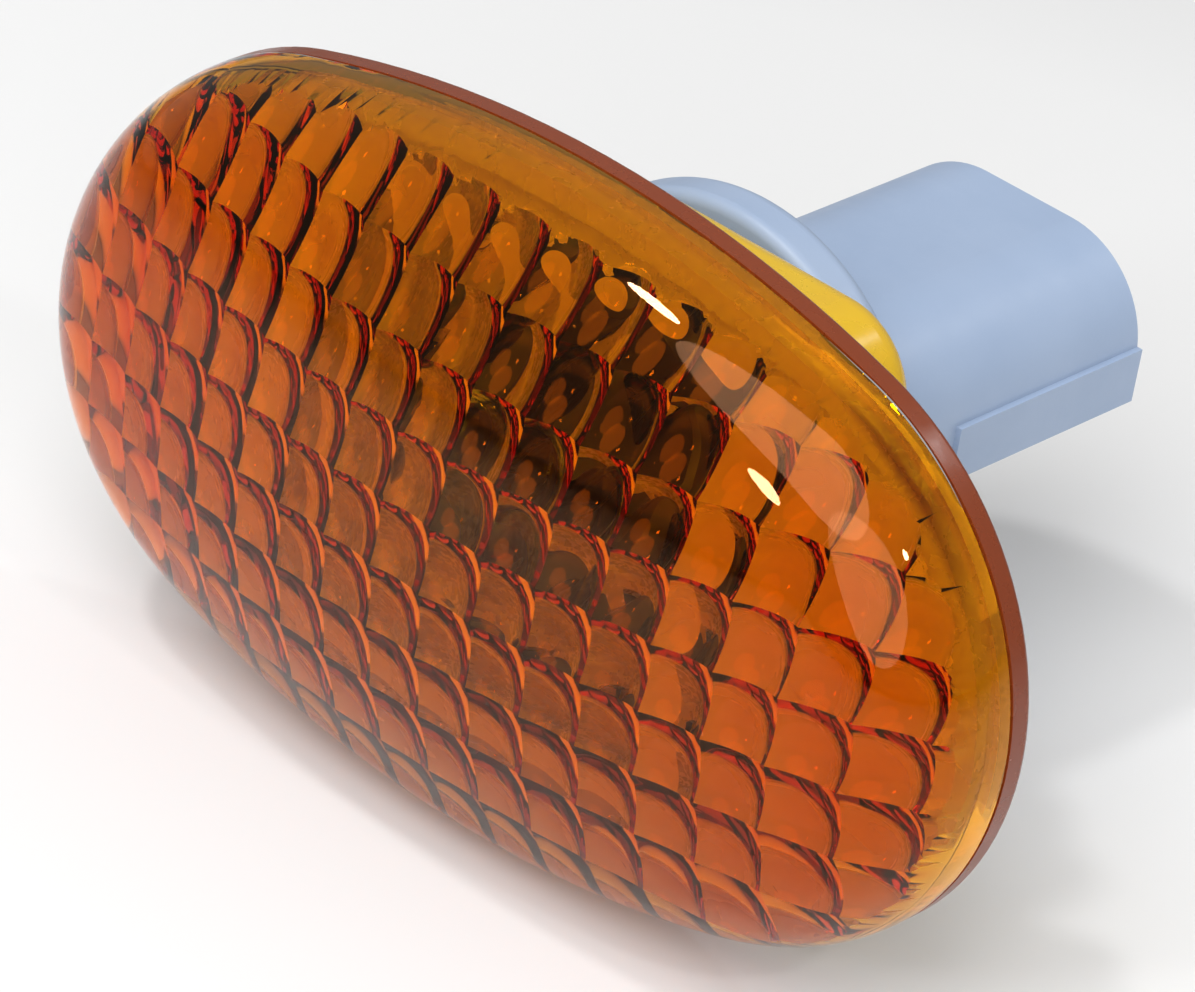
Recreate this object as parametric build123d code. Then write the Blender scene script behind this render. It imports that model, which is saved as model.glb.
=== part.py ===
from build123d import *
import math
import os

# Side repeater lamp for a car wing, in millimetres.
# X runs along the lamp, -Y points out of the lens, +Z is up.
# The origin is the centre of the seat that lies on the body panel.

# Lens: a four-arc oval under a shallow dome
lens_length = 78.0
lens_height = 47.0
lens_side_radius = 83.5
lens_depth = 15.6
lens_skirt_wall = 2.0
lens_front_wall = 2.0
lens_shoulder_radius = 9.5
dome_rise_along = 5.75
dome_rise_across = 8.55
skirt_band = 0.38
parting_break = 0.25

# Pillow optics on the inner face of the lens, over a base that is rounder along the lamp than the dome
pillow_pitch_along = 4.2
pillow_pitch_across = 4.6
pillow_crown_along = 0.7
pillow_crown_across = 0.7
pillow_lift = 0.2
pillow_base_rise = 8.9

# Housing rim: the band behind the lens, its seat ring and the rib that centres the lens
rim_thickness = 1.8
rim_edge_radius = 0.5
seat_ring_width = 5.5
seat_ring_height = 0.6
rib_share = 0.28
rib_thickness = 1.2
rib_clearance = 0.25

# Housing chamber: a rounded box around the bulb
chamber_width = 35.0
chamber_height = 31.2
chamber_corner_radius = 6.0
chamber_depth = 12.6
chamber_wall = 1.6
chamber_back_wall = 1.8
chamber_edge_radius = 2.0
gusset_length = 3.6
gusset_height = 6.5
gusset_thickness = 1.2
gusset_spacing = 18.0

# Panel clips: a fixed hook at one end, a sprung tongue at the other
panel_thickness = 1.0
panel_clearance = 0.6
clip_margin = 0.5
hook_width = 12.0
hook_overlap = 3.6
hook_thickness = 1.8
tongue_width = 10.0
tongue_thickness = 1.4
tongue_height = 8.5
tongue_lean = 3.2
tongue_bend = 1.4
tongue_pitch = 3.2
tongue_end_gap = 0.9
nose_reach = 3.4
nose_land = 1.0
nose_height = 3.6

# Bayonet between the holder and the chamber
barrel_radius = 8.9
barrel_clearance = 0.3
lug_count = 3
lug_angle = 24.0
lug_height = 2.3
lug_thickness = 2.0
lug_clearance = 0.15
lug_start_angle = 90.0
twist_angle = 45.0
twist_slack = 1.5
collar_gap = 0.4

# Bulb holder: flange, barrel and connector shroud
flange_radius = 15.6
flange_thickness = 3.9
flange_front_radius = 0.8
flange_back_radius = 1.4
seal_radius = 13.0
seal_thickness = 0.75
seal_gap = 0.05
seal_fit = 0.1
seal_edge_radius = 0.25
barrel_length = 8.8
barrel_edge = 0.6
shroud_width = 22.2
shroud_height = 14.7
shroud_length = 28.0
shroud_wall = 1.6
shroud_depth = 19.5
floor_thickness = 5.4
shroud_mouth = 0.5
rail_length = 19.0
rail_height = 4.0
rail_proud = 0.4
rail_drop = 1.1
latch_width = 6.0
latch_length = 5.0
latch_height = 1.3
latch_setback = 7.0

# Wedge bulb
bulb_radius = 4.9
bulb_length = 26.8
bulb_glass_wall = 0.6
bulb_tip_radius = 3.6
base_length = 8.0
base_thickness = 2.6
pinch_length = 3.0
filament_height = 20.0
filament_radius = 0.25
lead_radius = 0.2
lead_spacing = 4.4
lead_fold = 6.0
lead_bend = 0.4
lead_gap = 0.02
base_clearance = 0.4
bulb_clearance = 0.7
base_floor_gap = 0.3

# Terminals: one strip each, tab to spring contact
strip_width = 2.8
strip_thickness = 0.5
strip_fit = 0.05
tab_spacing = 6.4
tab_length = 13.5
tab_point = 0.6
spring_length = 6.0
spring_lead_in = 1.2
spring_fold_flat = 0.1
contact_gap = 0.03


def arc_radius(rise, reach):
    """Radius of the arc that rises by so much over that reach from its middle."""
    return (reach**2 + rise**2) / (2 * rise)


# Curves of the lens, from their rise between the lens's middle and its outline
dome_radius_along = arc_radius(dome_rise_along, lens_length / 2)
dome_radius_across = arc_radius(dome_rise_across, lens_height / 2)
pillow_base_radius = arc_radius(pillow_base_rise, lens_length / 2)

# Levels along Y that several pieces share
rim_front = -rim_thickness
plate_back = -seat_ring_height
chamber_inner_back = chamber_depth - chamber_back_wall
flange_front = chamber_depth + seal_gap + seal_thickness
flange_back = flange_front + flange_thickness
barrel_front = flange_front - barrel_length
lug_back = chamber_inner_back - lug_clearance
shroud_end = flange_back + shroud_length
shroud_floor = shroud_end - shroud_depth
panel_back = panel_thickness + panel_clearance

# The bulb stands in its slot with its folded leads just off the slot's floor
contact_offset = base_thickness / 2 + lead_gap + 2 * lead_radius + contact_gap
tab_offset = tab_spacing / 2
slot_floor = shroud_floor - floor_thickness
base_bottom = slot_floor - base_floor_gap - lead_radius - lead_bend
base_top = base_bottom - base_length
bulb_tip = base_bottom - bulb_length
filament_level = base_bottom - filament_height


def slab(outline, front, back):
    """Extrude an outline drawn in X and Z from y = front to y = back."""
    return extrude(Plane.XZ.offset(-back) * outline, back - front)


def prism(outline, width, centre=0.0):
    """Extrude an outline drawn in X and Y over a width along Z."""
    return Pos(0, 0, centre) * extrude(outline, width / 2, both=True)


def polygon(*points):
    return make_face(Polyline(*points, close=True))


def oval_arcs(inset):
    """Centre and radius of the end arcs, then of the side arcs, of the lens outline."""
    half_length = lens_length / 2
    half_height = lens_height / 2
    spread = 2 * lens_side_radius * half_height - half_length**2 - half_height**2
    end_radius = spread / (2 * (lens_side_radius - half_length))
    end_centre = half_length - end_radius
    side_centre = lens_side_radius - half_height
    return end_centre, end_radius - inset, side_centre, lens_side_radius - inset


def oval(inset=0.0):
    """Lens outline, moved inward by the inset: two end arcs and two side arcs."""
    end_centre, end_radius, side_centre, side_radius = oval_arcs(inset)
    join_angle = math.atan2(side_centre, end_centre)
    join_x = end_centre + end_radius * math.cos(join_angle)
    join_z = end_radius * math.sin(join_angle)
    length = end_centre + end_radius
    height = side_radius - side_centre
    return make_face([
        ThreePointArc((join_x, -join_z), (length, 0), (join_x, join_z)),
        ThreePointArc((join_x, join_z), (0, height), (-join_x, join_z)),
        ThreePointArc((-join_x, join_z), (-length, 0), (-join_x, -join_z)),
        ThreePointArc((-join_x, -join_z), (0, -height), (join_x, -join_z)),
    ])


def oval_reach(z, inset):
    """Half width of the inset lens outline at a height, or 0 above it."""
    end_centre, end_radius, side_centre, side_radius = oval_arcs(inset)
    side = math.sqrt(max(side_radius**2 - (abs(z) + side_centre)**2, 0))
    end = end_centre + math.sqrt(max(end_radius**2 - z**2, 0))
    return min(side, end)


def ring_sector(inner, outer, centre_angle, sweep):
    """Flat piece of a ring, its angle counted from +X towards +Z."""
    start = math.radians(centre_angle - sweep / 2)
    middle = math.radians(centre_angle)
    end = math.radians(centre_angle + sweep / 2)

    def at(radius, angle):
        return (radius * math.cos(angle), radius * math.sin(angle))

    return make_face([
        ThreePointArc(at(outer, start), at(outer, middle), at(outer, end)),
        Line(at(outer, end), at(inner, end)),
        ThreePointArc(at(inner, end), at(inner, middle), at(inner, start)),
        Line(at(inner, start), at(outer, start)),
    ])


def sag(radius, distance):
    return radius - math.sqrt(radius**2 - distance**2)


def dome(inset):
    """Solid behind the dome face: an arc across the lamp swung along it."""
    apex = inset - lens_depth
    along = dome_radius_along - inset
    across = dome_radius_across - inset
    reach = lens_height / 2 + lens_skirt_wall
    edge = apex + sag(across, reach)
    section = make_face([
        ThreePointArc((edge, -reach), (apex, 0), (edge, reach)),
        Polyline((edge, reach), (0, reach), (0, -reach), (edge, -reach)),
    ])
    axis = Axis((0, apex + along, 0), (0, 0, 1))
    swing = math.degrees(math.atan2(lens_length / 2 + lens_skirt_wall, apex + along))
    return revolve((Plane.YZ * section).rotate(axis, -swing), axis, 2 * swing)


def skirt_height(curve, reach):
    """Height of the lens skirt, from the rim to the dome's edge, where the dome has that reach."""
    return lens_depth - sag(curve, reach) - rim_thickness


def shoulder_limit(curve, reach):
    """Largest rounding that leaves the skirt's straight band, under a dome of that curve and reach."""
    drop = curve - lens_depth + rim_thickness + skirt_band
    return (curve + reach - drop**2 / (curve - reach)) / 2


def domed_oval(oval_inset, dome_inset, radius):
    """Oval prism under the dome, rounded where the dome meets the skirt."""
    blank = slab(oval(oval_inset), -lens_depth - lens_front_wall, rim_front) & dome(dome_inset)
    crown = blank.faces().filter_by(GeomType.TORUS)
    return fillet(crown.edges(), radius)


def odd_count(reach, pitch):
    """Least odd number of pitches that spans the reach on both sides of the middle."""
    return 2 * math.ceil(reach / pitch - 0.5) + 1


def pillow_row(columns, z):
    """One row of pillows: a scalloped profile along X, slid over one arc across the row."""
    apex = lens_front_wall - lens_depth + pillow_lift

    def along(x):
        return sag(pillow_base_radius, x)

    def across(height):
        return apex + sag(dome_radius_across - lens_front_wall, height)

    half = columns / 2 * pillow_pitch_along
    edges = [Polyline(
        (half, along(half)),
        (half, -lens_front_wall),
        (-half, -lens_front_wall),
        (-half, along(half)),
    )]
    for column in range(columns):
        left = column * pillow_pitch_along - half
        right = left + pillow_pitch_along
        middle = (left + right) / 2
        crown = (middle, along(middle) + pillow_crown_along)
        edges.append(ThreePointArc((left, along(left)), crown, (right, along(right))))
    low = z - pillow_pitch_across / 2
    high = z + pillow_pitch_across / 2
    slide = ThreePointArc(
        (0, across(low), low),
        (0, across(z) + pillow_crown_across, z),
        (0, across(high), high),
    )
    return sweep(Pos(0, across(low), low) * make_face(edges), path=slide, normal=(0, 0, 1))


def pillows():
    """Rows of pillows from wall to wall, with one row and one column in the middle."""
    rows = []
    count = odd_count(lens_height / 2 - lens_skirt_wall, pillow_pitch_across)
    for row in range(count):
        z = (row - (count - 1) / 2) * pillow_pitch_across
        near = max(abs(z) - pillow_pitch_across / 2, 0)
        reach = oval_reach(near, lens_skirt_wall)
        rows.append(pillow_row(odd_count(reach, pillow_pitch_along), z))
    return rows


def lens():
    """Domed shell, its cavity cut short by the pillows that stand on the dome."""
    shoulder = min(
        lens_shoulder_radius,
        shoulder_limit(dome_radius_along, lens_length / 2),
        shoulder_limit(dome_radius_across, lens_height / 2),
    )
    body = domed_oval(0, 0, shoulder)
    body = chamfer(body.faces().sort_by(Axis.Y)[-1].edges(), parting_break)
    cavity = domed_oval(lens_skirt_wall, lens_front_wall, shoulder - lens_skirt_wall)
    return body - (cavity - pillows())


def rim():
    """Back plate with the seat ring behind it and the centring rib in front."""
    plate = slab(oval(), rim_front, 0)
    plate = fillet(plate.faces().sort_by(Axis.Y)[-1].edges(), rim_edge_radius)
    plate -= slab(oval(seat_ring_width), plate_back, 0)
    rib_inset = lens_skirt_wall + rib_clearance
    rib_height = rib_share * skirt_height(dome_radius_across, lens_height / 2)
    rib = slab(oval(rib_inset) - oval(rib_inset + rib_thickness), rim_front - rib_height, rim_front)
    return plate + rib


def chamber_box(inset, front, back, edge_radius):
    corner = chamber_corner_radius - inset
    outline = RectangleRounded(chamber_width - 2 * inset, chamber_height - 2 * inset, corner)
    box = slab(outline, front, back)
    return fillet(box.faces().sort_by(Axis.Y)[-1].edges(), edge_radius)


def lug_places(offset=0.0):
    return [lug_start_angle + offset + turn * 360 / lug_count for turn in range(lug_count)]


def bayonet_bore():
    """Bore with one notch for each lug, a twist away from where the lugs lock."""
    bore = barrel_radius + barrel_clearance
    opening = Circle(bore)
    notch_outer = barrel_radius + lug_height + barrel_clearance
    for angle in lug_places(-twist_angle):
        opening += ring_sector(barrel_radius, notch_outer, angle, lug_angle + 2 * twist_slack)
    return slab(opening, chamber_inner_back, chamber_depth)


def bayonet_collar():
    """Stops between the lugs' paths on the inner side of the chamber's back wall."""
    inner = barrel_radius + collar_gap
    outer = barrel_radius + lug_height
    free = 360 / lug_count - twist_angle - lug_angle
    middle = lug_angle / 2 + free / 2
    stops = []
    for angle in lug_places(middle):
        stop = ring_sector(inner, outer, angle, free - 2 * twist_slack)
        stops.append(slab(stop, lug_back - lug_thickness, chamber_inner_back))
    return stops


def gussets():
    """Webs between the chamber's end walls and the back plate."""
    foot = chamber_width / 2
    web = polygon((foot, plate_back), (foot + gusset_length, plate_back), (foot, gusset_height))
    webs = []
    for centre in (-gusset_spacing / 2, gusset_spacing / 2):
        right = prism(web, gusset_thickness, centre)
        webs += [right, mirror(right, Plane.YZ)]
    return webs


def clip_reach():
    """How far the clips reach from the middle, inside the seat ring over their whole width."""
    return oval_reach(max(hook_width, tongue_width) / 2, seat_ring_width) - clip_margin


def hook():
    """Fixed hook that goes behind the edge of the panel's hole."""
    reach = clip_reach()
    post = reach - hook_overlap
    top = panel_back + hook_thickness
    profile = polygon(
        (-post, plate_back),
        (-post, panel_back),
        (-reach, panel_back),
        (-reach, panel_back + hook_thickness / 2),
        (-post, top),
        (-post + hook_thickness, top),
        (-post + hook_thickness, plate_back),
    )
    return prism(profile, hook_width)


def tongue():
    """Sprung arm, folded over once, with a nose that snaps behind the panel."""
    reach = clip_reach()
    arm_end = reach - nose_reach
    root = arm_end - tongue_lean - tongue_pitch
    line = FilletPolyline(
        (root, plate_back),
        (root, tongue_height),
        (root + tongue_pitch, tongue_height),
        (arm_end, plate_back + tongue_end_gap),
        radius=tongue_bend,
    )
    arm = prism(trace(line, tongue_thickness), tongue_width)
    nose = polygon(
        (arm_end, panel_back),
        (reach, panel_back),
        (reach, panel_back + nose_land),
        (arm_end - tongue_thickness, panel_back + nose_height),
    )
    return arm + prism(nose, tongue_width)


def housing():
    outer = chamber_box(0, rim_front, chamber_depth, chamber_edge_radius)
    inner = chamber_box(chamber_wall, rim_front, chamber_inner_back, chamber_wall)
    shell = rim() + outer + gussets() + hook() + tongue()
    return shell - inner - bayonet_bore() + bayonet_collar()


def connector_shroud():
    """Oval tube behind the flange, with a rail on each side and a latch below."""
    outline = SlotOverall(shroud_width, shroud_height)
    hollow = SlotOverall(shroud_width - 2 * shroud_wall, shroud_height - 2 * shroud_wall)
    rail_width = shroud_width + 2 * rail_proud
    rails = Pos(0, -rail_drop) * Rectangle(rail_width, rail_height)
    latch_start = shroud_end - latch_setback
    latch = Polyline(
        (latch_start, -shroud_height / 2),
        (latch_start, shroud_wall - shroud_height / 2),
        (latch_start - latch_length, shroud_wall - shroud_height / 2),
        (latch_start - latch_length, -shroud_height / 2 - latch_height),
        close=True,
    )
    tube = slab(outline, flange_back, shroud_end)
    tube += slab(rails, shroud_end - rail_length, shroud_end)
    tube += extrude(Plane.YZ * make_face(latch), latch_width / 2, both=True)
    tube -= slab(hollow, shroud_floor, shroud_end)
    mouth = tube.faces().sort_by(Axis.Y)[-1].inner_wires()[0]
    return chamfer(mouth.edges(), shroud_mouth)


def bulb_holder():
    flange = slab(Circle(flange_radius), flange_front, flange_back)
    flange = fillet(flange.faces().sort_by(Axis.Y)[0].edges(), flange_front_radius)
    flange = fillet(flange.faces().sort_by(Axis.Y)[-1].edges(), flange_back_radius)
    barrel = slab(Circle(barrel_radius), barrel_front, flange_front)
    barrel = chamfer(barrel.faces().sort_by(Axis.Y)[0].edges(), barrel_edge)
    holder = flange + barrel + connector_shroud()
    for angle in lug_places():
        lug = ring_sector(barrel_radius - barrel_edge, barrel_radius + lug_height, angle, lug_angle)
        holder += slab(lug, lug_back - lug_thickness, lug_back)
    slot_width = tab_spacing + strip_thickness + 2 * strip_fit
    slot_height = 2 * math.sqrt(bulb_radius**2 - base_thickness**2 / 4) + 2 * base_clearance
    holder -= slab(Circle(bulb_radius + bulb_clearance), barrel_front, base_top)
    holder -= slab(Rectangle(slot_width, slot_height), base_top, slot_floor)
    for side in (-1, 1):
        channel = Rectangle(strip_thickness + 2 * strip_fit, strip_width + 2 * strip_fit)
        holder -= slab(Pos(side * tab_offset, 0) * channel, slot_floor, shroud_floor)
    return holder


def holder_seal():
    ring = Circle(seal_radius) - Circle(barrel_radius + seal_fit)
    seal = slab(ring, flange_front - seal_thickness, flange_front)
    outer_edges = seal.edges().filter_by(GeomType.CIRCLE).sort_by(SortBy.RADIUS)[-2:]
    return fillet(outer_edges, seal_edge_radius)


def terminal(side):
    """Tab, straight run through the floor, then a fold back along the bulb's base."""
    tab_tip = shroud_floor + tab_length
    fold = base_top + spring_lead_in
    leg_offset = contact_offset + strip_thickness / 2
    line = FilletPolyline(
        (side * tab_offset, tab_tip),
        (side * tab_offset, fold),
        (side * leg_offset, fold),
        (side * leg_offset, fold + spring_length),
        radius=(tab_offset - leg_offset - spring_fold_flat) / 2,
    )
    strip = prism(trace(line, strip_thickness), strip_width)
    tip_edges = strip.faces().sort_by(Axis.Y)[-1].edges().filter_by(Axis.X)
    return chamfer(tip_edges, tab_point)


def bulb_blank(inset):
    """Tube with a domed tip, pinched flat towards the base."""
    radius = bulb_radius - inset
    tube = slab(Circle(radius), bulb_tip + inset, base_bottom)
    tube = fillet(tube.faces().sort_by(Axis.Y)[0].edges(), bulb_tip_radius - inset)
    pinch_start = base_top - pinch_length
    flat = base_thickness / 2 - inset
    pinch = polygon(
        (-radius, bulb_tip),
        (radius, bulb_tip),
        (radius, pinch_start),
        (flat, base_top),
        (flat, base_bottom),
        (-flat, base_bottom),
        (-flat, base_top),
        (-radius, pinch_start),
    )
    return tube & prism(pinch, 2 * bulb_radius)


def bulb_glass():
    hollow = bulb_blank(bulb_glass_wall) & slab(Circle(bulb_radius), bulb_tip, base_top)
    glass = bulb_blank(0) - hollow
    for side in (-1, 1):
        wire = Pos(0, side * lead_spacing / 2) * Circle(lead_radius)
        glass -= slab(wire, base_top - pinch_length, base_bottom)
    return glass


def bulb_lead(side):
    """Wire from the filament through the pinch, folded back over the base."""
    z = side * lead_spacing / 2
    fold_x = side * (base_thickness / 2 + lead_gap + lead_radius)
    fold_y = base_bottom + lead_bend
    route = FilletPolyline(
        (0, filament_level, z),
        (0, fold_y, z),
        (fold_x, fold_y, z),
        (fold_x, base_bottom - lead_fold, z),
        radius=lead_bend,
    )
    section = Plane(origin=(0, filament_level, z), z_dir=(0, 1, 0)) * Circle(lead_radius)
    return sweep(section, path=route)


def bulb_filament():
    """Coil envelope that spans the two leads."""
    span = lead_spacing - 2 * lead_radius
    coil = Cylinder(filament_radius, span)
    return Pos(0, filament_level + filament_radius, 0) * coil


nodes = {
    "lens": lens(),
    "housing": housing(),
    "bulb_holder": bulb_holder(),
    "holder_seal": holder_seal(),
    "terminal_left": terminal(-1),
    "terminal_right": terminal(1),
    "bulb_glass": bulb_glass(),
    "bulb_lead_left": bulb_lead(-1),
    "bulb_lead_right": bulb_lead(1),
    "bulb_filament": bulb_filament(),
}

os.makedirs("parts", exist_ok=True)
for name, shape in nodes.items():
    export_step(shape, f"parts/{name}.step")
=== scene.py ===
import math

import bmesh
import bpy
import numpy as np
from mathutils import Matrix, Vector
from mathutils.bvhtree import BVHTree
from mathutils.geometry import delaunay_2d_cdt

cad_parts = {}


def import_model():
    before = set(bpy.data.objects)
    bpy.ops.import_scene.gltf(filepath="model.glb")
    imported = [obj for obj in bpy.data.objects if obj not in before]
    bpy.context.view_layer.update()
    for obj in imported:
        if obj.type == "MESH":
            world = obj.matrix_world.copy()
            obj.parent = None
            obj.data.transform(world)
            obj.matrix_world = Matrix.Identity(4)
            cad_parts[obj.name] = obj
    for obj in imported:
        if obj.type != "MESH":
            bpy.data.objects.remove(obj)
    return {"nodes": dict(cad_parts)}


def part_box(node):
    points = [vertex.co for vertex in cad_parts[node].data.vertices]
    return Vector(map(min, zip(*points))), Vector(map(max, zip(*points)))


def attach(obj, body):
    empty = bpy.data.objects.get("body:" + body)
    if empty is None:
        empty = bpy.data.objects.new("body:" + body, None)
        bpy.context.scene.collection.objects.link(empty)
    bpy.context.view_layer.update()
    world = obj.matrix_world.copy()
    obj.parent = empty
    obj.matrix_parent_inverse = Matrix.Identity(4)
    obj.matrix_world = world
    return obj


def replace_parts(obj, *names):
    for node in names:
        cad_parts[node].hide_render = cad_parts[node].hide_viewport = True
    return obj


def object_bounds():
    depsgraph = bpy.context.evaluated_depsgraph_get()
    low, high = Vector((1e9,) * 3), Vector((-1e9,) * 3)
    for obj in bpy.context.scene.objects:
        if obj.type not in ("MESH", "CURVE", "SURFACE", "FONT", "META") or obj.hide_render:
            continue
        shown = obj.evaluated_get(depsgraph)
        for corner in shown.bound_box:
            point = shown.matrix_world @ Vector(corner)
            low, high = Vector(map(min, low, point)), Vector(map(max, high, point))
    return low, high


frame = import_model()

CAD_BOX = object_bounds()
MM = 0.001

# Lens form: the solid's own box gives its length, height and levels
LENS_LOW, LENS_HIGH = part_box("lens")
HALF_LENGTH = LENS_HIGH.x
HALF_HEIGHT = LENS_HIGH.z
LENS_APEX = LENS_LOW.y
WELD_GAP = 0.03 * MM
LENS_BACK = LENS_HIGH.y - WELD_GAP
SIDE_RADIUS = 83.5 * MM
DOME_RISE_ALONG = 5.75 * MM
DOME_RISE_ACROSS = 8.55 * MM
LENS_WALL = 2.0 * MM
SHOULDER = 9.5 * MM
PARTING_BREAK = 0.25 * MM
STATIONS_PER_ARC = 96
ARC_STEPS = 14
CAP_STEPS = 26
MERGE_DISTANCE = 0.001 * MM
SLIVER_LIMIT = 0.0005 * MM

# Turn between two faces, in degrees, above which their edge stays sharp
LENS_EDGE = 24
SOLID_EDGE = 30

# Pillow optics on the inner face, over a base that is rounder along the lamp than the dome
PITCH_ALONG = 4.2 * MM
PITCH_ACROSS = 4.6 * MM
CROWN_ALONG = 0.7 * MM
CROWN_ACROSS = 0.7 * MM
PILLOW_LIFT = 0.2 * MM
PILLOW_BASE_RISE = 8.9 * MM
PILLOW_STEPS = 16
SKIRT_STEPS = 2
SKIRT_CLEARANCE = 0.3 * MM
FLAT_TOLERANCE = 1e-7

# The holder's barrel, in front of its flange, is painted near black as shade inside the lamp
HOLDER_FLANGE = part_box("holder_seal")[1].y

# Filament coil
COIL_TURNS = 16
COIL_WIRE = 0.05 * MM
POINTS_PER_TURN = 14

# Camera, from a fit of the solids to the photograph's outline
CAMERA_AZIMUTH = math.radians(38.12)
CAMERA_ELEVATION = math.radians(30.37)
CAMERA_ROLL = math.radians(9.59)
CAMERA_DISTANCE = 410.8 * MM
CAMERA_RIGHT = 2.55 * MM
CAMERA_UP = -0.97 * MM
IMAGE_WIDTH = 1195
FOCAL_PIXELS = 6500
SENSOR_WIDTH = 36.0

# Sky, as the brightness of white seen in it, dimmer ahead of the lens than above and behind
FRONT_LIGHT = 0.25
BACK_LIGHT = 0.4
SKY_TILT = math.radians(35)
SKY_LOW = -0.2
SKY_HIGH = 0.9

# Lamps: direction from the origin, distance, width and height in metres, power in watts
LAMPS = {
    "panel": ((0.10, -0.55, 0.83), 0.7, 0.55, 0.55, 3.0),
    "fill": ((0.55, -0.70, 0.46), 0.7, 0.55, 0.55, 2.4),
    "key": ((-0.32, -0.31, 0.90), 0.7, 0.08, 0.06, 0.9),
    "window": ((-0.13, -0.91, 0.39), 0.9, 0.08, 0.12, 1.2),
    "right": ((0.69, -0.24, 0.68), 0.7, 0.04, 0.04, 0.4),
    "back": ((0.28, 0.65, 0.71), 0.7, 0.05, 0.03, 0.3),
}

# Floor: half its width and its distance to full shade, in metres, and the share of that which stays pale
FLOOR_HALF = 3.0
FLOOR_REACH = 0.4
FLOOR_PALE_SHARE = 0.3

# Light paths: in and out of the lens twice, with a little to spare
LIGHT_BOUNCES = 6
DIFFUSE_BOUNCES = 2


def arc_radius(rise, reach):
    """Radius of the arc that rises by so much over that reach from its middle."""
    return (reach**2 + rise**2) / (2 * rise)


DOME_ALONG = arc_radius(DOME_RISE_ALONG, HALF_LENGTH)
DOME_ACROSS = arc_radius(DOME_RISE_ACROSS, HALF_HEIGHT)
PILLOW_BASE = arc_radius(PILLOW_BASE_RISE, HALF_LENGTH)


# The outline's end arcs meet its side arcs without a corner
END_SPREAD = 2 * SIDE_RADIUS * HALF_HEIGHT - HALF_LENGTH**2 - HALF_HEIGHT**2
END_RADIUS = END_SPREAD / (2 * (SIDE_RADIUS - HALF_LENGTH))
END_CENTRE = HALF_LENGTH - END_RADIUS
SIDE_CENTRE = SIDE_RADIUS - HALF_HEIGHT


def oval_stations():
    """Outward direction, arc centre and arc radius at each station round the lens outline."""
    join = math.atan2(SIDE_CENTRE, END_CENTRE)
    arcs = (
        (-join, join, (END_CENTRE, 0), END_RADIUS),
        (join, math.pi - join, (0, -SIDE_CENTRE), SIDE_RADIUS),
        (math.pi - join, math.pi + join, (-END_CENTRE, 0), END_RADIUS),
        (math.pi + join, 2 * math.pi - join, (0, SIDE_CENTRE), SIDE_RADIUS),
    )
    stations = []
    for start, end, centre, radius in arcs:
        for angle in np.linspace(start, end, STATIONS_PER_ARC, endpoint=False):
            stations.append(((math.cos(angle), math.sin(angle)), centre, radius))
    return stations


def sag(radius, distance):
    return radius - math.sqrt(radius**2 - distance**2)


def dome_level(x, z, inset):
    """Y of the dome face, moved inward by the inset."""
    along = DOME_ALONG - inset
    across = DOME_ACROSS - inset
    return LENS_APEX + inset + along - math.sqrt((along - sag(across, z))**2 - x**2)


def dome_normal(x, z, inset):
    along = DOME_ALONG - inset
    across = DOME_ACROSS - inset
    reach = along - sag(across, z)
    root = math.sqrt(reach**2 - x**2)
    slope_z = reach * z / math.sqrt(across**2 - z**2) / root
    return Vector((x / root, -1, slope_z)).normalized()


def shell_rings(wall):
    """Rings from the lens's back edge over the skirt and the rounded shoulder to the dome."""
    rings = [[] for _ in range(ARC_STEPS + 2)]
    for (out_x, out_z), (centre_x, centre_z), radius in oval_stations():
        outward = Vector((out_x, 0, out_z))
        ball_x = centre_x + (radius - SHOULDER) * out_x
        ball_z = centre_z + (radius - SHOULDER) * out_z
        ball = Vector((ball_x, dome_level(ball_x, ball_z, SHOULDER), ball_z))
        normal = dome_normal(ball_x, ball_z, SHOULDER)
        foot = ball + (SHOULDER - wall) * outward
        foot.y = LENS_BACK
        rings[0].append(foot)
        for step in range(ARC_STEPS + 1):
            facing = outward.slerp(normal, step / ARC_STEPS)
            rings[step + 1].append(ball + (SHOULDER - wall) * facing)
    return rings


def cap_rings(edge, inset):
    """Rings that shrink from the dome's edge towards its middle."""
    rings = []
    for step in range(1, CAP_STEPS):
        share = 1 - step / CAP_STEPS
        ring = []
        for point in edge:
            x = point.x * share
            z = point.z * share
            ring.append(Vector((x, dome_level(x, z, inset), z)))
        rings.append(ring)
    return rings


class Surface:
    """Vertices and faces of a mesh while it grows."""

    def __init__(self):
        self.points = []
        self.faces = []

    def add(self, points):
        first = len(self.points)
        self.points += points
        return list(range(first, first + len(points)))

    def loft(self, rings):
        """Join closed rings of equal count by quads, and return the last one's numbers."""
        numbers = [self.add(ring) for ring in rings]
        for low, high in zip(numbers, numbers[1:]):
            count = len(low)
            for k in range(count):
                after = (k + 1) % count
                self.faces.append((low[k], low[after], high[after], high[k]))
        return numbers[-1]

    def close(self, ring, middle):
        hub = self.add([middle])[0]
        for k in range(len(ring)):
            self.faces.append((ring[k], ring[(k + 1) % len(ring)], hub))


def outer_face(surface):
    rings = shell_rings(0)
    broken = [point.copy() for point in rings[0]]
    for point in rings[0]:
        point.y -= PARTING_BREAK
    for point, (direction, _, _) in zip(broken, oval_stations()):
        point -= PARTING_BREAK * Vector((direction[0], 0, direction[1]))
    caps = cap_rings(rings[-1], 0)
    last = surface.loft([broken] + rings + caps)
    surface.close(last, Vector((0, LENS_APEX, 0)))
    return broken


def oval_reach(z, inset):
    """Half width of the inset lens outline at a height."""
    side = math.sqrt(max((SIDE_RADIUS - inset)**2 - (abs(z) + SIDE_CENTRE)**2, 0))
    end = END_CENTRE + math.sqrt(max((END_RADIUS - inset)**2 - z**2, 0))
    return min(side, end)


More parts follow.
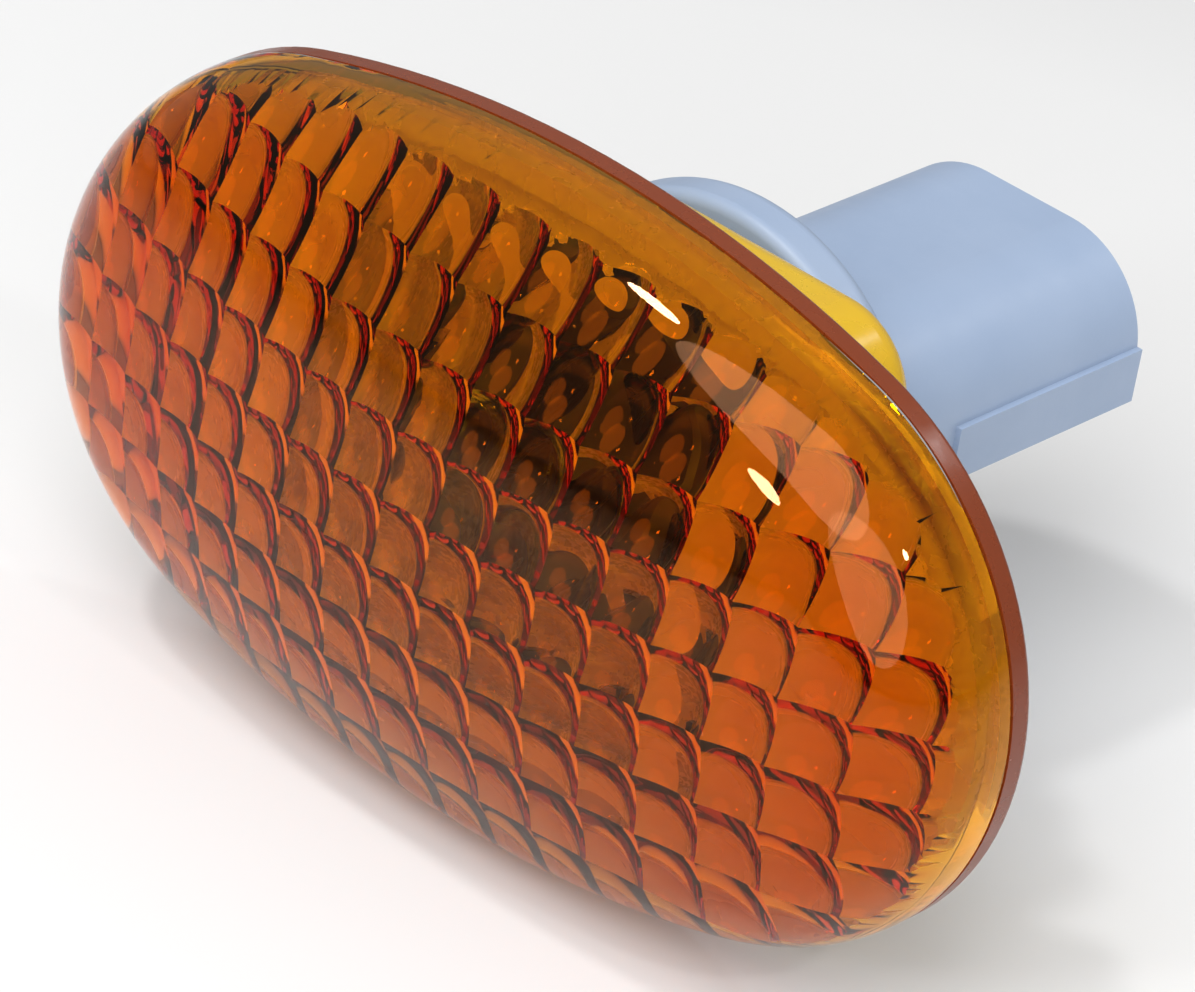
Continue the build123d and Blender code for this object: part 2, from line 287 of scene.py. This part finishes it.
def scallop(place, pitch, crown, radius):
    """Height of a row of equal arcs over a wide arc, with one of them in the middle."""
    middle = math.floor(place / pitch + 0.5) * pitch
    left = middle - pitch / 2
    right = middle + pitch / 2
    ends = (sag(radius, left) + sag(radius, right)) / 2
    tilt = (sag(radius, right) - sag(radius, left)) / pitch
    rise = crown + sag(radius, middle) - ends
    arc = (pitch**2 / 4 + rise**2) / (2 * rise)
    return ends + tilt * (place - middle) + rise - sag(arc, place - middle)


def pillow_level(x, z):
    apex = LENS_APEX + LENS_WALL + PILLOW_LIFT
    along = scallop(x, PITCH_ALONG, CROWN_ALONG, PILLOW_BASE)
    across = scallop(z, PITCH_ACROSS, CROWN_ACROSS, DOME_ACROSS - LENS_WALL)
    return apex + along + across


def inner_face(surface):
    """Skirt as rings, then the cavity's face with the pillows that stand out of it."""
    rings = shell_rings(LENS_WALL)
    caps = cap_rings(rings[-1], LENS_WALL)
    foot = [point.copy() for point in rings[0]]
    surface.loft(rings[:SKIRT_STEPS + 1])
    plain = Surface()
    last = plain.loft(rings[SKIRT_STEPS:] + caps)
    plain.close(last, Vector((0, LENS_APEX + LENS_WALL, 0)))
    cavity = BVHTree.FromPolygons(plain.points, plain.faces)
    points = list(rings[SKIRT_STEPS])
    count = len(points)
    edges = [(k, (k + 1) % count) for k in range(count)]
    step_x = PITCH_ALONG / PILLOW_STEPS
    step_z = PITCH_ACROSS / PILLOW_STEPS
    inset = LENS_WALL + SKIRT_CLEARANCE
    rows = math.floor((HALF_HEIGHT - inset) / step_z)
    for k in range(-rows, rows + 1):
        z = k * step_z
        columns = math.floor(oval_reach(z, inset) / step_x)
        for i in range(-columns, columns + 1):
            x = i * step_x
            plain_level = cavity.ray_cast(Vector((x, 0, z)), Vector((0, -1, 0)))[0].y
            points.append(Vector((x, max(pillow_level(x, z), plain_level), z)))
    flat = [Vector((point.x, point.z)) for point in points]
    _, _, triangles, sources, _, _ = delaunay_2d_cdt(flat, edges, [], 0, FLAT_TOLERANCE)
    numbers = surface.add([points[source[0]] for source in sources])
    surface.faces += [[numbers[k] for k in triangle] for triangle in triangles]
    return foot


def lens():
    """The moulded lens as one closed mesh, with every pillow as real geometry."""
    surface = Surface()
    outer_edge = outer_face(surface)
    inner_edge = inner_face(surface)
    surface.loft([outer_edge, inner_edge])
    mesh = bpy.data.meshes.new("amber_lens")
    mesh.from_pydata([tuple(point) for point in surface.points], [], surface.faces)
    work = bmesh.new()
    work.from_mesh(mesh)
    bmesh.ops.remove_doubles(work, verts=work.verts, dist=MERGE_DISTANCE)
    bmesh.ops.dissolve_degenerate(work, edges=work.edges, dist=SLIVER_LIMIT)
    bmesh.ops.recalc_face_normals(work, faces=work.faces)
    work.to_mesh(mesh)
    work.free()
    return add_piece("amber_lens", mesh)


def add_piece(name, data):
    piece = bpy.data.objects.new(name, data)
    bpy.context.scene.collection.objects.link(piece)
    return piece


def filament():
    """Coiled wire between the leads, inside the solid's envelope, as a mesh tube."""
    low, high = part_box("bulb_filament")
    centre = (low + high) / 2
    radius = (high.x - low.x) / 2 - COIL_WIRE
    length = high.z - low.z
    curve = bpy.data.curves.new("filament_coil", "CURVE")
    curve.dimensions = "3D"
    curve.bevel_depth = COIL_WIRE
    curve.bevel_resolution = 1
    spline = curve.splines.new("POLY")
    count = COIL_TURNS * POINTS_PER_TURN
    spline.points.add(count)
    for k, point in enumerate(spline.points):
        angle = 2 * math.pi * k / POINTS_PER_TURN
        x = centre.x + radius * math.cos(angle)
        y = centre.y + radius * math.sin(angle)
        z = low.z + length * k / count
        point.co = (x, y, z, 1)
    wire = bpy.data.objects.new("filament_line", curve)
    mesh = bpy.data.meshes.new_from_object(wire)
    bpy.data.objects.remove(wire)
    return add_piece("filament_coil", mesh)


class Finish:
    """A Principled material with helpers for its procedural detail."""

    def __init__(self, name):
        self.material = bpy.data.materials.new(name)
        self.material.use_nodes = True
        self.tree = self.material.node_tree
        self.shader = self.tree.nodes["Principled BSDF"]
        self.output = self.tree.nodes["Material Output"]
        self.place = self.tree.nodes.new("ShaderNodeTexCoord").outputs["Object"]

    def set(self, **values):
        for name, value in values.items():
            self.shader.inputs[name.replace("_", " ")].default_value = value
        return self

    def noise(self, size, detail=3.0, stretch=(1, 1, 1)):
        """Noise whose blotches are about as wide as the size."""
        mapping = self.tree.nodes.new("ShaderNodeMapping")
        mapping.inputs["Scale"].default_value = stretch
        texture = self.tree.nodes.new("ShaderNodeTexNoise")
        texture.inputs["Scale"].default_value = 1 / size
        texture.inputs["Detail"].default_value = detail
        self.tree.links.new(self.place, mapping.inputs["Vector"])
        self.tree.links.new(mapping.outputs["Vector"], texture.inputs["Vector"])
        return texture.outputs["Fac"]

    def span(self, value, low, high, start=0.3, end=0.7):
        ranged = self.tree.nodes.new("ShaderNodeMapRange")
        ranged.inputs["From Min"].default_value = start
        ranged.inputs["From Max"].default_value = end
        ranged.inputs["To Min"].default_value = low
        ranged.inputs["To Max"].default_value = high
        self.tree.links.new(value, ranged.inputs["Value"])
        return ranged.outputs["Result"]

    def colour(self, value, first, second):
        """Base colour that drifts between two near shades."""
        mix = self.tree.nodes.new("ShaderNodeMix")
        mix.data_type = "RGBA"
        mix.inputs["A"].default_value = (*first, 1)
        mix.inputs["B"].default_value = (*second, 1)
        self.tree.links.new(self.span(value, 0, 1), mix.inputs["Factor"])
        self.tree.links.new(mix.outputs["Result"], self.shader.inputs["Base Color"])
        return self

    def depth(self):
        """Place along Y, from the lens to the connector."""
        parts = self.tree.nodes.new("ShaderNodeSeparateXYZ")
        self.tree.links.new(self.place, parts.inputs["Vector"])
        return parts.outputs["Y"]

    def reach(self, halves):
        """Distance from the middle, 1 on an oval of those half sizes; an infinite one drops its axis."""
        scaled = self.tree.nodes.new("ShaderNodeVectorMath")
        scaled.operation = "MULTIPLY"
        scaled.inputs[1].default_value = [1 / half for half in halves]
        length = self.tree.nodes.new("ShaderNodeVectorMath")
        length.operation = "LENGTH"
        self.tree.links.new(self.place, scaled.inputs[0])
        self.tree.links.new(scaled.outputs["Vector"], length.inputs[0])
        return length.outputs["Value"]

    def shade(self, value, start, end, tint):
        """Blend the base colour towards a tint while the value goes from start to end."""
        mix = self.tree.nodes.new("ShaderNodeMix")
        mix.data_type = "RGBA"
        mix.inputs["B"].default_value = (*tint, 1)
        base = self.shader.inputs["Base Color"]
        self.tree.links.new(self.span(value, 0, 1, start, end), mix.inputs["Factor"])
        self.tree.links.new(base.links[0].from_socket, mix.inputs["A"])
        self.tree.links.new(mix.outputs["Result"], base)
        return self

    def rough(self, value, low, high, start=0.3, end=0.7):
        self.tree.links.new(self.span(value, low, high, start, end), self.shader.inputs["Roughness"])
        return self

    def bump(self, value, depth, strength=1.0):
        node = self.tree.nodes.new("ShaderNodeBump")
        node.inputs["Distance"].default_value = depth
        node.inputs["Strength"].default_value = strength
        self.tree.links.new(value, node.inputs["Height"])
        self.tree.links.new(node.outputs["Normal"], self.shader.inputs["Normal"])
        return self

    def absorb(self, colour, density):
        volume = self.tree.nodes.new("ShaderNodeVolumeAbsorption")
        volume.inputs["Color"].default_value = (*colour, 1)
        volume.inputs["Density"].default_value = density
        self.tree.links.new(volume.outputs["Volume"], self.output.inputs["Volume"])
        return self


def amber_lens_finish():
    """Polished clear amber acrylic with faint flow marks and a few hazy patches."""
    finish = Finish("amber_lens")
    finish.set(Transmission_Weight=1.0, IOR=1.49, Specular_Tint=(1.0, 0.5, 0.25, 1))
    flow = finish.noise(14 * MM, 1.0, (1, 1, 2.5))
    finish.colour(flow, (0.985, 0.965, 0.93), (0.995, 0.985, 0.96))
    finish.rough(flow, 0.0, 0.06, 0.62, 0.8)
    finish.bump(finish.noise(9 * MM, 0.0), 0.02 * MM)
    finish.absorb((0.983, 0.875, 0.0), 1500)
    return finish.material


def amber_housing_finish():
    """Translucent amber moulding, more cloudy than clear, with painted shade darkening its outer rim."""
    finish = Finish("amber_housing")
    finish.set(Transmission_Weight=0.3, IOR=1.49)
    finish.colour(finish.noise(8 * MM, 3.0), (0.97, 0.60, 0.02), (0.98, 0.65, 0.03))
    # Painted shade: the outer rim blends to dark brown, standing in for amber seen edge-on through a
    # long path
    rim_shade_reach = finish.reach((HALF_LENGTH, math.inf, HALF_HEIGHT))
    finish.shade(rim_shade_reach, 0.955, 0.985, (0.26, 0.045, 0.008))
    finish.rough(finish.noise(2 * MM, 4.0), 0.2, 0.34)
    finish.bump(finish.noise(0.7 * MM, 2.0), 0.004 * MM)
    return finish.material


def holder_finish():
    """Satin blue-grey moulding with a fine spark-eroded grain, and painted shade on the barrel inside
    the lamp.
    """
    finish = Finish("grey_moulding")
    finish.set(IOR=1.5)
    finish.colour(finish.noise(11 * MM, 4.0), (0.31, 0.40, 0.56), (0.35, 0.44, 0.60))
    # Painted shade: the barrel in front of the flange fades to near black, standing in for the dim
    # inside of the lamp
    finish.shade(finish.depth(), HOLDER_FLANGE, HOLDER_FLANGE - 2 * MM, (0.03, 0.022, 0.02))
    finish.rough(finish.noise(1.5 * MM, 4.0), 0.34, 0.48)
    finish.bump(finish.noise(0.22 * MM, 2.0), 0.006 * MM)
    return finish.material


def seal_finish():
    finish = Finish("seal_rubber")
    finish.colour(finish.noise(3 * MM, 4.0), (0.018, 0.018, 0.02), (0.03, 0.03, 0.032))
    finish.rough(finish.noise(1 * MM, 3.0), 0.55, 0.75)
    finish.bump(finish.noise(0.3 * MM, 2.0), 0.01 * MM)
    return finish.material


def strip_finish():
    """Tinned brass, drawn along its length."""
    finish = Finish("contact_strip")
    finish.set(Metallic=1.0)
    drawn = finish.noise(0.25 * MM, 3.0, (1, 0.05, 1))
    finish.colour(finish.noise(4 * MM, 4.0), (0.62, 0.59, 0.51), (0.72, 0.70, 0.64))
    finish.rough(drawn, 0.22, 0.4)
    finish.bump(drawn, 0.004 * MM)
    return finish.material


def glass_finish():
    finish = Finish("bulb_glass")
    finish.set(Transmission_Weight=1.0, IOR=1.51)
    finish.colour(finish.noise(6 * MM, 2.0), (0.96, 0.97, 0.97), (0.98, 0.98, 0.98))
    finish.rough(finish.noise(2 * MM, 3.0), 0.0, 0.02)
    finish.bump(finish.noise(5 * MM, 1.0), 0.015 * MM)
    return finish.material


def wire_finish(name, dark, light):
    finish = Finish(name)
    finish.set(Metallic=1.0)
    finish.colour(finish.noise(1.5 * MM, 3.0), dark, light)
    finish.rough(finish.noise(0.2 * MM, 3.0), 0.25, 0.45)
    finish.bump(finish.noise(0.15 * MM, 2.0), 0.002 * MM)
    return finish.material


def paint(piece, material):
    piece.data.materials.clear()
    piece.data.materials.append(material)


def smooth(piece, limit):
    """Smooth shading, with edges kept where faces turn by more than the limit."""
    mesh = piece.data
    mesh.polygons.foreach_set("use_smooth", [True] * len(mesh.polygons))
    mesh.set_sharp_from_angle(angle=math.radians(limit))


def dress():
    """Pieces in place of the lens and the filament, and a finish on every node."""
    lens_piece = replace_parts(lens(), "lens")
    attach(lens_piece, "lamp_body")
    smooth(lens_piece, LENS_EDGE)
    paint(lens_piece, amber_lens_finish())
    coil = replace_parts(filament(), "bulb_filament")
    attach(coil, "holder_unit")
    paint(coil, wire_finish("filament", (0.16, 0.16, 0.17), (0.26, 0.26, 0.27)))
    strip = strip_finish()
    lead = wire_finish("lead_wire", (0.5, 0.46, 0.4), (0.64, 0.6, 0.54))
    finishes = {
        "housing": amber_housing_finish(),
        "bulb_holder": holder_finish(),
        "holder_seal": seal_finish(),
        "terminal_left": strip,
        "terminal_right": strip,
        "bulb_glass": glass_finish(),
        "bulb_lead_left": lead,
        "bulb_lead_right": lead,
    }
    for name, material in finishes.items():
        node = frame["nodes"][name]
        smooth(node, SOLID_EDGE)
        paint(node, material)


def floor():
    """Pale floor that keeps a soft shadow and darkens away from the lamp."""
    half = FLOOR_HALF
    mesh = bpy.data.meshes.new("floor")
    corners = [(-half, -half, 0), (half, -half, 0), (half, half, 0), (-half, half, 0)]
    mesh.from_pydata(corners, [], [(0, 1, 2, 3)])
    piece = add_piece("floor", mesh)
    piece.location.z = CAD_BOX[0].z
    finish = Finish("floor")
    finish.set(Roughness=0.9)
    finish.colour(finish.noise(0.3, 1.0), (0.80, 0.80, 0.80), (0.82, 0.82, 0.82))
    distance = finish.reach((FLOOR_REACH, FLOOR_REACH, math.inf))
    finish.shade(distance, FLOOR_PALE_SHARE, 1.0, (0.3, 0.3, 0.3))
    paint(piece, finish.material)


def world():
    """Soft white sky, dimmer ahead of the lens."""
    surroundings = bpy.data.worlds.new("studio")
    bpy.context.scene.world = surroundings
    surroundings.use_nodes = True
    tree = surroundings.node_tree
    sky = tree.nodes["Background"]
    place = tree.nodes.new("ShaderNodeTexCoord")
    height = tree.nodes.new("ShaderNodeVectorMath")
    height.operation = "DOT_PRODUCT"
    height.inputs[1].default_value = (0, math.sin(SKY_TILT), math.cos(SKY_TILT))
    ramp = tree.nodes.new("ShaderNodeMapRange")
    ramp.inputs["From Min"].default_value = SKY_LOW
    ramp.inputs["From Max"].default_value = SKY_HIGH
    ramp.inputs["To Min"].default_value = FRONT_LIGHT
    ramp.inputs["To Max"].default_value = BACK_LIGHT
    sky.inputs["Color"].default_value = (1, 1, 1, 1)
    tree.links.new(place.outputs["Generated"], height.inputs[0])
    tree.links.new(height.outputs["Value"], ramp.inputs["Value"])
    tree.links.new(ramp.outputs["Result"], sky.inputs["Strength"])
    surroundings.cycles.sampling_method = "NONE"


def softbox(name, direction, distance, width, height, power):
    """Area light on a direction from the lamp, turned towards it."""
    light = bpy.data.lights.new(name, "AREA")
    light.shape = "ELLIPSE"
    light.size = width
    light.size_y = height
    light.energy = power
    piece = bpy.data.objects.new(name, light)
    bpy.context.scene.collection.objects.link(piece)
    towards = Vector(direction).normalized()
    piece.location = distance * towards
    piece.rotation_euler = towards.to_track_quat("Z", "Y").to_euler()


def lights():
    for name, (direction, distance, width, height, power) in LAMPS.items():
        softbox(name, direction, distance, width, height, power)


def camera():
    """Camera at the photograph's viewing angle, rolled a little as there."""
    back = Vector((
        math.sin(CAMERA_AZIMUTH) * math.cos(CAMERA_ELEVATION),
        -math.cos(CAMERA_AZIMUTH) * math.cos(CAMERA_ELEVATION),
        math.sin(CAMERA_ELEVATION),
    ))
    level = Vector((math.cos(CAMERA_AZIMUTH), math.sin(CAMERA_AZIMUTH), 0))
    right = math.cos(CAMERA_ROLL) * level + math.sin(CAMERA_ROLL) * back.cross(level)
    up = back.cross(right)
    data = bpy.data.cameras.new("camera")
    data.sensor_width = SENSOR_WIDTH
    data.lens = FOCAL_PIXELS * SENSOR_WIDTH / IMAGE_WIDTH
    data.clip_start = 0.01
    piece = bpy.data.objects.new("camera", data)
    bpy.context.scene.collection.objects.link(piece)
    piece.matrix_world = Matrix((right, up, back)).transposed().to_4x4()
    piece.location = CAMERA_DISTANCE * back + CAMERA_RIGHT * right + CAMERA_UP * up
    bpy.context.scene.camera = piece


dress()
floor()
world()
lights()
camera()
bpy.context.scene.view_settings.view_transform = "Standard"
bpy.context.scene.cycles.use_light_tree = False
bpy.context.scene.cycles.max_bounces = LIGHT_BOUNCES
bpy.context.scene.cycles.transmission_bounces = LIGHT_BOUNCES
bpy.context.scene.cycles.diffuse_bounces = DIFFUSE_BOUNCES
